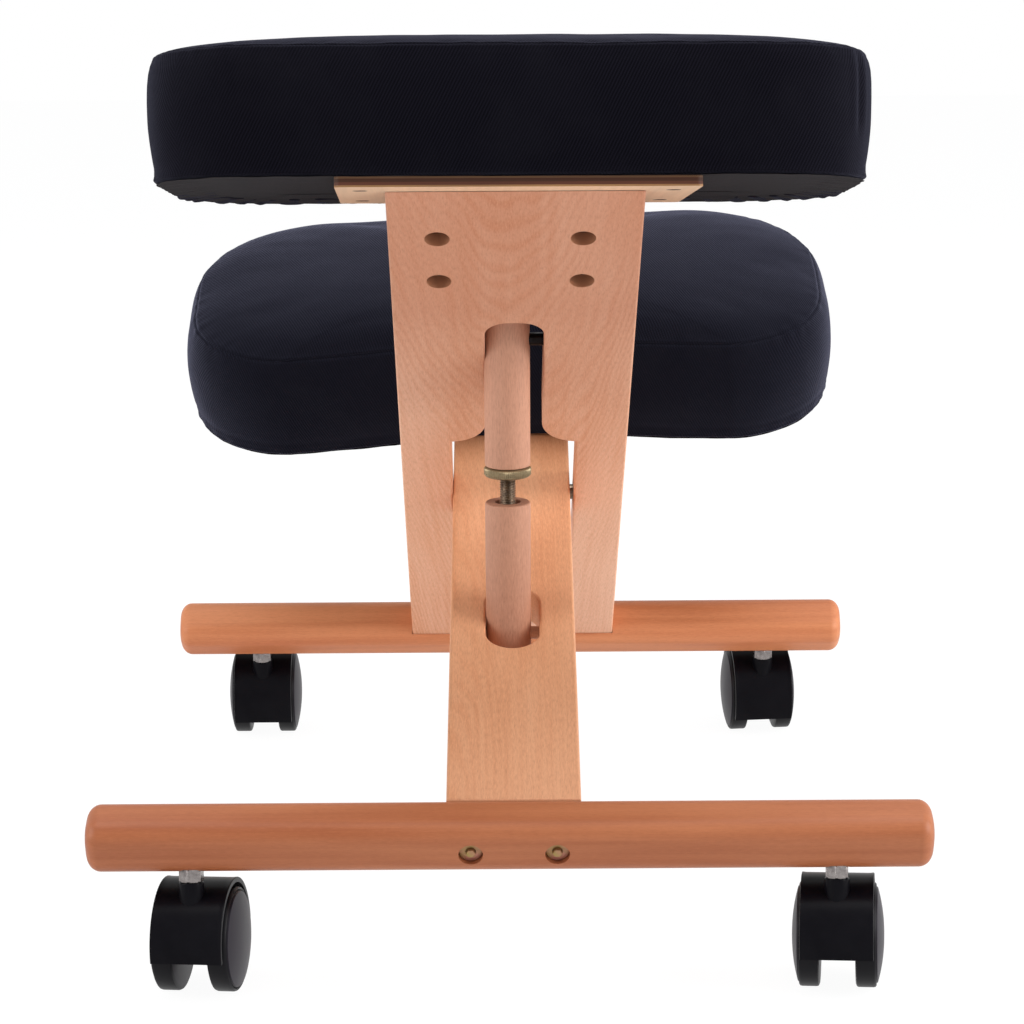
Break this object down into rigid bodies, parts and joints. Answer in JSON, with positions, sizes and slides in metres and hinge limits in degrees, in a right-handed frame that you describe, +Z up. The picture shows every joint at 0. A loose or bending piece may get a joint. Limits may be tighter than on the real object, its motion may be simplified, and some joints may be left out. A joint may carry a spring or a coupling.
{
  "type": "kneeling chair",
  "caption": "Crossed-beam wooden kneeling chair with padded seat and knee rest, a screw strut that sets its height, and twin-wheel casters.",
  "frame": {"origin": "under the middle of the whole chair, on the floor", "axes": "+X across the chair, to the right of someone looking from behind the seat; +Y the way the sitter faces, towards the knee pad; +Z up"},
  "size_m": [0.48, 0.5852, 0.5432],
  "materials": {
    "beech": "satin",
    "strut_beech": "satin",
    "plywood": "matte",
    "fabric": "matte",
    "zinc": "satin",
    "zinc_yellow": "satin",
    "steel": "satin",
    "caster_hood": "gloss",
    "caster_wheel": "satin"
  },
  "bodies": {
    "knee_frame": {"knee_beam": "beech", "rear_bar": "beech", "knee_pad_board": "plywood", "knee_pad": "fabric", "rear_bolt_left": "zinc", "rear_bolt_right": "zinc", "rear_left_stem": "zinc", "rear_right_stem": "zinc", "lower_strut_pin": "steel"},
    "seat_frame": {"seat_beam": "beech", "front_bar": "beech", "seat_plate": "plywood", "gusset_left": "beech", "gusset_right": "beech", "seat_board": "plywood", "seat_cushion": "fabric", "beam_screw_upper_left": "zinc", "beam_screw_lower_left": "zinc", "beam_screw_upper_right": "zinc", "beam_screw_lower_right": "zinc", "front_bolt_left": "zinc", "front_bolt_right": "zinc", "pivot_axle": "steel", "upper_strut_pin": "steel", "front_left_stem": "zinc", "front_right_stem": "zinc"},
    "upper_strut": {"upper_strut": "strut_beech"},
    "screw": {"adjusting_wheel": "zinc_yellow", "threaded_rod": "steel"},
    "lower_strut": {"lower_strut": "strut_beech", "thread_insert": "steel"},
    "rear_left_caster": {"rear_left_hood": "caster_hood", "rear_left_axle": "steel"},
    "rear_left_left_wheel": {"rear_left_wheel_left": "caster_wheel"},
    "rear_left_right_wheel": {"rear_left_wheel_right": "caster_wheel"},
    "rear_right_caster": {"rear_right_hood": "caster_hood", "rear_right_axle": "steel"},
    "rear_right_left_wheel": {"rear_right_wheel_left": "caster_wheel"},
    "rear_right_right_wheel": {"rear_right_wheel_right": "caster_wheel"},
    "front_left_caster": {"front_left_hood": "caster_hood", "front_left_axle": "steel"},
    "front_left_left_wheel": {"front_left_wheel_left": "caster_wheel"},
    "front_left_right_wheel": {"front_left_wheel_right": "caster_wheel"},
    "front_right_caster": {"front_right_hood": "caster_hood", "front_right_axle": "steel"},
    "front_right_left_wheel": {"front_right_wheel_left": "caster_wheel"},
    "front_right_right_wheel": {"front_right_wheel_right": "caster_wheel"}
  },
  "joints": [
    {"name": "frame_pivot", "type": "hinge", "parent": "knee_frame", "child": "seat_frame", "pos_m": [0, 0.06765, 0.22254], "axis": [-1, 0, 0], "range_deg": [-5.7, 18.3]},
    {"name": "upper_strut_pivot", "type": "hinge", "parent": "seat_frame", "child": "upper_strut", "pos_m": [0, -0.0834, 0.35056], "axis": [-1, 0, 0], "range_deg": [-6.5, 2.5]},
    {"name": "lower_strut_pivot", "type": "hinge", "parent": "knee_frame", "child": "lower_strut", "pos_m": [0, -0.07947, 0.16493], "axis": [-1, 0, 0], "range_deg": [-4.5, 13]},
    {"name": "screw_turn", "type": "hinge", "parent": "upper_strut", "child": "screw", "pos_m": [-0.0024, -0.08166, 0.26841], "axis": [0, -0.0212, 0.9998], "continuous": true},
    {"name": "rear_left_swivel", "type": "hinge", "parent": "knee_frame", "child": "rear_left_caster", "pos_m": [-0.1835, -0.26587, 0.06373], "axis": [0, 0.1857, 0.9826], "continuous": true},
    {"name": "rear_left_left_roll", "type": "hinge", "parent": "rear_left_caster", "child": "rear_left_left_wheel", "pos_m": [-0.18037, -0.25203, 0.03059], "axis": [0.9877, -0.1537, 0.029], "continuous": true},
    {"name": "rear_left_right_roll", "type": "hinge", "parent": "rear_left_caster", "child": "rear_left_right_wheel", "pos_m": [-0.18037, -0.25203, 0.03059], "axis": [0.9877, -0.1537, 0.029], "continuous": true},
    {"name": "rear_right_swivel", "type": "hinge", "parent": "knee_frame", "child": "rear_right_caster", "pos_m": [0.1835, -0.26587, 0.06373], "axis": [0, 0.1857, 0.9826], "continuous": true},
    {"name": "rear_right_left_roll", "type": "hinge", "parent": "rear_right_caster", "child": "rear_right_left_wheel", "pos_m": [0.18628, -0.25198, 0.03058], "axis": [0.9903, -0.1368, 0.0258], "continuous": true},
    {"name": "rear_right_right_roll", "type": "hinge", "parent": "rear_right_caster", "child": "rear_right_right_wheel", "pos_m": [0.18628, -0.25198, 0.03058], "axis": [0.9903, -0.1368, 0.0258], "continuous": true},
    {"name": "front_left_swivel", "type": "hinge", "parent": "seat_frame", "child": "front_left_caster", "pos_m": [-0.1835, 0.23361, 0.05631], "axis": [0, -0.1857, 0.9826], "continuous": true},
    {"name": "front_left_left_roll", "type": "hinge", "parent": "front_left_caster", "child": "front_left_left_wheel", "pos_m": [-0.1835, 0.25884, 0.03054], "axis": [1, 0, 0], "continuous": true},
    {"name": "front_left_right_roll", "type": "hinge", "parent": "front_left_caster", "child": "front_left_right_wheel", "pos_m": [-0.1835, 0.25884, 0.03054], "axis": [1, 0, 0], "continuous": true},
    {"name": "front_right_swivel", "type": "hinge", "parent": "seat_frame", "child": "front_right_caster", "pos_m": [0.1835, 0.23361, 0.05631], "axis": [0, -0.1857, 0.9826], "continuous": true},
    {"name": "front_right_left_roll", "type": "hinge", "parent": "front_right_caster", "child": "front_right_left_wheel", "pos_m": [0.1821, 0.25879, 0.03053], "axis": [0.9976, 0.0685, 0.013], "continuous": true},
    {"name": "front_right_right_roll", "type": "hinge", "parent": "front_right_caster", "child": "front_right_right_wheel", "pos_m": [0.1821, 0.25879, 0.03053], "axis": [0.9976, 0.0685, 0.013], "continuous": true}
  ],
  "couplings": [
    {"joint": "upper_strut_pivot", "follows": "frame_pivot", "ratio": -0.325},
    {"joint": "lower_strut_pivot", "follows": "frame_pivot", "ratio": 0.675},
    {"joint": "screw_turn", "follows": "frame_pivot", "ratio": 592}
  ]
}
